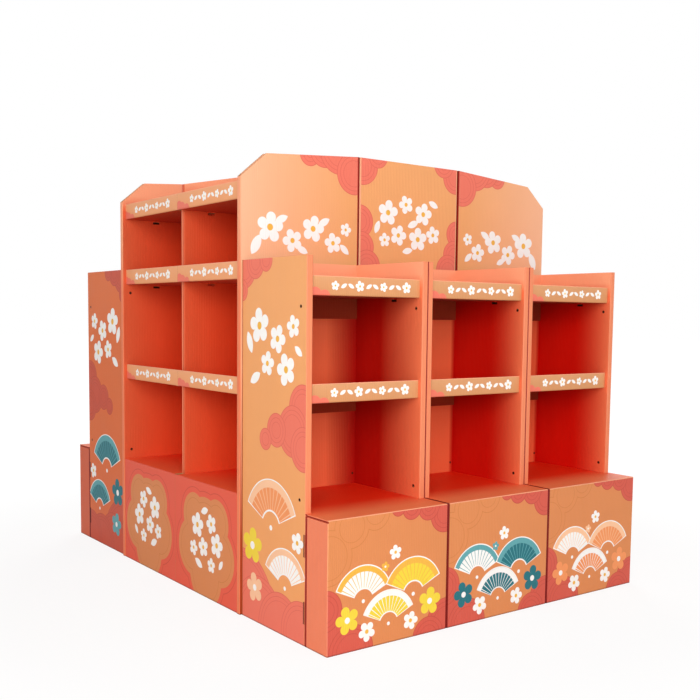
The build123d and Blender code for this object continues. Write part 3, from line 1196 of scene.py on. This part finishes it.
    def front_print(self, local: Local) -> bpy.types.NodeSocket:
        """Print of the base fronts: on coral, a pale cloud-shaped field that holds a spray of white flowers.

        Args:
            local: The surface point in the unit's frame.

        Returns:
            The print's colour.
        """
        across = abs(local.side) - self.column_pitch / 2
        panel = Panel(local.graph, across, local.height)
        coat = Coat(local.graph, INKS.base_coral)
        field = panel.cloud([(0.0, 0.215, 0.150), (-0.105, 0.165, 0.105), (0.105, 0.165, 0.105),
                             (-0.085, 0.285, 0.085), (0.085, 0.285, 0.085), (0.0, 0.085, 0.120)])
        coat.shape(INKS.base_ground, field)
        coat.line(INKS.base_coral_line, field, -0.020, 0.0024)
        coat.line(INKS.ground_line, field, 0.020, 0.0022)
        flowers = ((-0.060, 0.255, 0.046, 0.2), (0.045, 0.275, 0.036, 0.7), (0.085, 0.205, 0.044, 0.1),
                   (-0.015, 0.180, 0.036, 0.5), (-0.090, 0.165, 0.030, 0.0), (0.045, 0.125, 0.028, 0.3))
        leaves = ((-0.005, 0.315, 0.055, 0.3), (-0.050, 0.115, 0.060, -0.4), (0.115, 0.140, 0.045, 0.9))
        coat.spray(panel, flowers, leaves)
        return coat.colour


@dataclass
class CentrePanel:
    """Tall folded panel that fills the middle between the two end units."""

    name: str
    place: Place
    width: float = 0.4732
    side_fold_highlight: float = 0.006

    def dress(self) -> None:
        """Dresses the panel."""
        dress(self.name, self.finish())

    def finish(self) -> bpy.types.Material:
        """Printed front with folded side edges painted pale as highlights, flanges painted dark as the shade
        in the joints, and kraft behind.

        Returns:
            The panel's material.
        """
        graph = Graph.material(self.name)
        local = Local(graph, self.place)
        coat = Coat(graph, INKS.kraft)
        off_middle = abs(local.side)
        flange = (off_middle > self.width / 2 - OUTER_MARGIN) * (abs(local.facing_side) > SLOPING_EDGE)
        # Painted shade on the flanges in the joints beside the end units.
        coat.lay(INKS.joint_shade, flange)
        front = (local.facing_back < FORWARD_FOLD) * (local.depth < FOLD_DEPTH)
        coat.lay(self.front_print(local), front)
        # Painted highlight along the front's folded side edges.
        coat.lay(INKS.fold_highlight, front * (off_middle > self.width / 2 - self.side_fold_highlight))
        edges = abs(local.facing_up) > SLOPING_EDGE
        BOARD.cut_edges(local, coat, edges)
        raw = edges.larger(1.0 - flange.larger(front))
        return BOARD.finish(local, coat, raw)

    def front_print(self, local: Local) -> bpy.types.NodeSocket:
        """Print of the front: cloud banks at its sides and a wreath of white flowers.

        Args:
            local: The surface point in the panel's frame.

        Returns:
            The print's colour.
        """
        panel = Panel(local.graph, local.side, local.height)
        coat = Coat(local.graph, INKS.ground)
        for lobes in ([(-0.225, 1.56, 0.070), (-0.155, 1.60, 0.045)],
                      [(0.225, 1.555, 0.062), (0.165, 1.60, 0.050)],
                      [(-0.235, 1.36, 0.060), (-0.225, 1.27, 0.055), (-0.20, 1.20, 0.060)],
                      [(0.235, 1.34, 0.050), (0.225, 1.26, 0.055), (0.195, 1.20, 0.060)]):
            coat.bank(panel, lobes)
        flowers = ((-0.105, 1.400, 0.046, 0.2), (-0.020, 1.435, 0.034, 0.7), (0.065, 1.405, 0.042, 0.1),
                   (0.115, 1.330, 0.034, 0.5), (-0.055, 1.320, 0.038, 0.0), (0.040, 1.310, 0.044, 0.3),
                   (-0.120, 1.300, 0.026, 0.4))
        leaves = ((0.015, 1.365, 0.055, 0.4), (-0.155, 1.345, 0.050, 1.2), (0.115, 1.445, 0.050, -0.4),
                  (-0.010, 1.265, 0.050, 0.2))
        coat.spray(panel, flowers, leaves)
        return coat.colour


@dataclass(frozen=True)
class Lamp:
    """A soft square lamp: where it hangs, the length of its side and its power in watts."""

    name: str
    place: tuple[float, float, float]
    size: float
    power: float

    def hang(self, target: Vector) -> None:
        """Adds the lamp to the scene.

        Args:
            target: The point that it faces.
        """
        data = bpy.data.lights.new(self.name, "AREA")
        data.size = self.size
        data.energy = self.power
        lamp = bpy.data.objects.new(self.name, data)
        lamp.location = self.place
        aim = target - Vector(self.place)
        lamp.rotation_euler = aim.to_track_quat("-Z", "Y").to_euler()
        bpy.context.scene.collection.objects.link(lamp)
        log.info("hung lamp %s", self.name)


@dataclass
class Studio:
    """White floor and background, soft lamps, and the camera at the photograph's angle."""

    eye: tuple[float, float, float] = (-2.3187, -3.2588, 1.0161)
    yaw: float = 0.63902
    pitch: float = -0.08238
    roll: float = 0.01138
    focal_pixels: float = 951.28
    frame_pixels: float = 700.0
    optical_centre: tuple[float, float] = (351.49, 395.57)
    sensor: float = 36.0
    floor_size: float = 80.0
    floor_cuts: int = 3
    floor_paint: Colour = (0.84, 0.83, 0.82, 1.0)
    floor_glow: float = 1.06
    glow_near_stand: float = 0.80
    shadow_reach: tuple[float, float] = (1.5, 3.2)
    white: Colour = (1.0, 1.0, 1.0, 1.0)
    ambient: float = 0.42
    target: tuple[float, float, float] = (0.0, 0.0, 0.75)
    lamps: tuple[Lamp, ...] = (Lamp("key", (-3.3, -4.4, 2.0), 3.0, 175.0),
                               Lamp("side", (-5.2, -1.0, 2.2), 3.0, 25.0),
                               Lamp("fill", (2.5, -5.4, 2.4), 3.6, 45.0),
                               Lamp("rear", (3.3, 4.4, 2.0), 3.0, 175.0),
                               Lamp("far_side", (5.2, 1.0, 2.2), 3.0, 25.0))

    def build(self) -> None:
        """Makes the stage, the lamps and the camera."""
        bpy.context.scene.view_settings.view_transform = "Standard"
        self.floor()
        self.world()
        for lamp in self.lamps:
            lamp.hang(Vector(self.target))
        self.camera()

    def floor(self) -> None:
        """White floor that keeps the object's shadow."""
        bpy.ops.object.select_all(action="DESELECT")
        bpy.ops.mesh.primitive_plane_add(size=self.floor_size, location=(0.0, 0.0, 0.0))
        floor = bpy.context.object
        floor.name = "studio_floor"
        bpy.ops.object.mode_set(mode="EDIT")
        bpy.ops.mesh.select_all(action="SELECT")
        bpy.ops.mesh.subdivide(number_cuts=self.floor_cuts)
        bpy.ops.object.mode_set(mode="OBJECT")
        graph = Graph.material("studio_floor")
        paint = graph.node("ShaderNodeBsdfDiffuse", {}, {"Color": self.floor_paint})
        glow = graph.node("ShaderNodeEmission", {}, {"Color": self.white, "Strength": self.floor_glow})
        rays = graph.node("ShaderNodeLightPath", {}, {})
        ground = graph.node("ShaderNodeTexCoord", {}, {}).outputs["Object"]
        away = graph.node("ShaderNodeVectorMath", {"operation": "LENGTH"}, {0: ground}).outputs["Value"]
        near = self.glow_near_stand
        pale = Value(graph, away).ramp(*self.shadow_reach) * (1.0 - near) + near
        seen = Value(graph, rays.outputs["Is Camera Ray"]) * pale
        mixed = graph.node("ShaderNodeMixShader", {}, {0: seen, 1: paint.outputs[0], 2: glow.outputs[0]})
        graph.node("ShaderNodeOutputMaterial", {}, {"Surface": mixed.outputs[0]})
        floor.data.materials.append(graph.owner)
        log.info("laid %s", floor.name)

    def world(self) -> None:
        """White to the camera, and an even soft light to the object."""
        world = bpy.data.worlds.new("studio_world")
        bpy.context.scene.world = world
        graph = Graph(world)
        rays = graph.node("ShaderNodeLightPath", {}, {})
        direct, mirrored = (Value(graph, rays.outputs[kind]) for kind in ("Is Camera Ray", "Is Glossy Ray"))
        seen = direct.larger(mirrored)
        strength = seen * (1.0 - self.ambient) + self.ambient
        light = graph.node("ShaderNodeBackground", {}, {"Color": self.white, "Strength": strength})
        graph.node("ShaderNodeOutputWorld", {}, {"Surface": light.outputs[0]})

    def camera(self) -> None:
        """Sets the camera at the photograph's viewpoint."""
        ahead = Vector((math.sin(self.yaw) * math.cos(self.pitch), math.cos(self.yaw) * math.cos(self.pitch),
                        math.sin(self.pitch)))
        level = Vector((math.cos(self.yaw), -math.sin(self.yaw), 0.0))
        upright = level.cross(ahead)
        right = level * math.cos(self.roll) + upright * math.sin(self.roll)
        top = upright * math.cos(self.roll) - level * math.sin(self.roll)
        data = bpy.data.cameras.new("camera")
        data.sensor_fit = "HORIZONTAL"
        data.sensor_width = self.sensor
        data.lens = self.focal_pixels * self.sensor / self.frame_pixels
        data.shift_x = (self.frame_pixels / 2 - self.optical_centre[0]) / self.frame_pixels
        data.shift_y = (self.optical_centre[1] - self.frame_pixels / 2) / self.frame_pixels
        camera = bpy.data.objects.new("camera", data)
        columns = Matrix((right, top, -ahead)).transposed()
        camera.matrix_world = Matrix.Translation(Vector(self.eye)) @ columns.to_4x4()
        bpy.context.scene.collection.objects.link(camera)
        bpy.context.scene.camera = camera


def main() -> None:
    """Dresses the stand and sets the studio."""
    logging.basicConfig(level=logging.INFO, format="%(message)s")
    for unit in (RowOfCabinets("front", Place(0.0, -0.878, 0), FRONT_SIDES),
                 RowOfCabinets("back", Place(0.0, 0.878, 2), SHADED_BACK_SIDES),
                 EndUnit("left_end", Place(-0.7276, 0.0, 3)), EndUnit("right_end", Place(0.7276, 0.0, 1)),
                 CentrePanel("front_centre_panel", Place(0.0, -0.4925, 0)),
                 CentrePanel("back_centre_panel", Place(0.0, 0.4925, 2))):
        unit.dress()
    Studio().build()
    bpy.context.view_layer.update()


if __name__ == "__main__":
    main()
